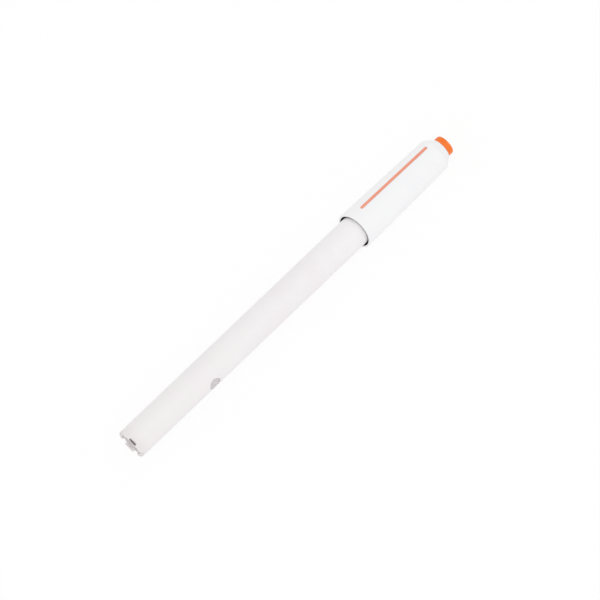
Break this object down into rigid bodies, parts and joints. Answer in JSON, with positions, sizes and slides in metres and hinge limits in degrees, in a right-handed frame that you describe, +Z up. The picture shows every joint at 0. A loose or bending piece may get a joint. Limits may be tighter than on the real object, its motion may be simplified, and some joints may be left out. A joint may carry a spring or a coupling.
{
  "type": "dissolved oxygen electrode",
  "caption": "Slim dissolved oxygen electrode with a white shaft, slotted sensor guard, side temperature button, tapered handle with orange strip, and orange plug in its cable socket.",
  "frame": {"origin": "on the electrode's axis, 60 mm from the tip, in the middle of the round shaft that a holder grips", "axes": "+X along the axis from the tip towards the cable end, +Z up with the electrode lying, +Y to its left seen from the tip"},
  "size_m": [0.1653, 0.0152, 0.0151],
  "materials": {
    "shaft_white": "satin",
    "cap_white": "satin",
    "membrane_dark": "matt film",
    "seal_black": "matt",
    "stem_grey": "satin",
    "insulator_glass": "polished",
    "gold": "plated",
    "silver": "matt",
    "button_steel": "fine turned",
    "nut_brass": "turned",
    "bead_epoxy": "gloss",
    "lead_white": "matt",
    "lead_red": "matt",
    "lead_blue": "matt",
    "board_green": "solder mask",
    "chip_black": "matt",
    "handle_white": "satin",
    "strip_orange": "satin",
    "connector_black": "satin",
    "ring_metal": "nickel plated",
    "plug_orange": "satin"
  },
  "bodies": {
    "electrode": {"shaft_tube": "shaft_white", "cap_seal": "seal_black", "sensor_stem": "stem_grey", "stem_seals": "seal_black", "cathode_insulator": "insulator_glass", "cathode": "gold", "anode": "silver", "cathode_lead": "lead_red", "anode_lead": "lead_blue", "temperature_button": "button_steel", "button_gasket": "seal_black", "button_nut": "nut_brass", "thermistor": "bead_epoxy", "thermistor_leads": "lead_white", "lead_bulkhead": "stem_grey", "circuit_board": "board_green", "board_chips": "chip_black", "shaft_seals": "seal_black", "handle_shell": "handle_white", "accent_strip": "strip_orange", "connector_body": "connector_black", "connector_seal": "seal_black", "connector_pins": "gold", "connector_ring": "ring_metal"},
    "cap": {"membrane_cap": "cap_white", "membrane": "membrane_dark", "membrane_seal": "seal_black"},
    "plug": {"dust_plug": "plug_orange"}
  },
  "joints": [
    {"name": "membrane_cap_removal", "type": "slide", "parent": "electrode", "child": "cap", "axis": [-1, 0, 0], "range_m": [0, 0.015]},
    {"name": "dust_plug_pull", "type": "slide", "parent": "electrode", "child": "plug", "axis": [1, 0, 0], "range_m": [0, 0.01]}
  ]
}
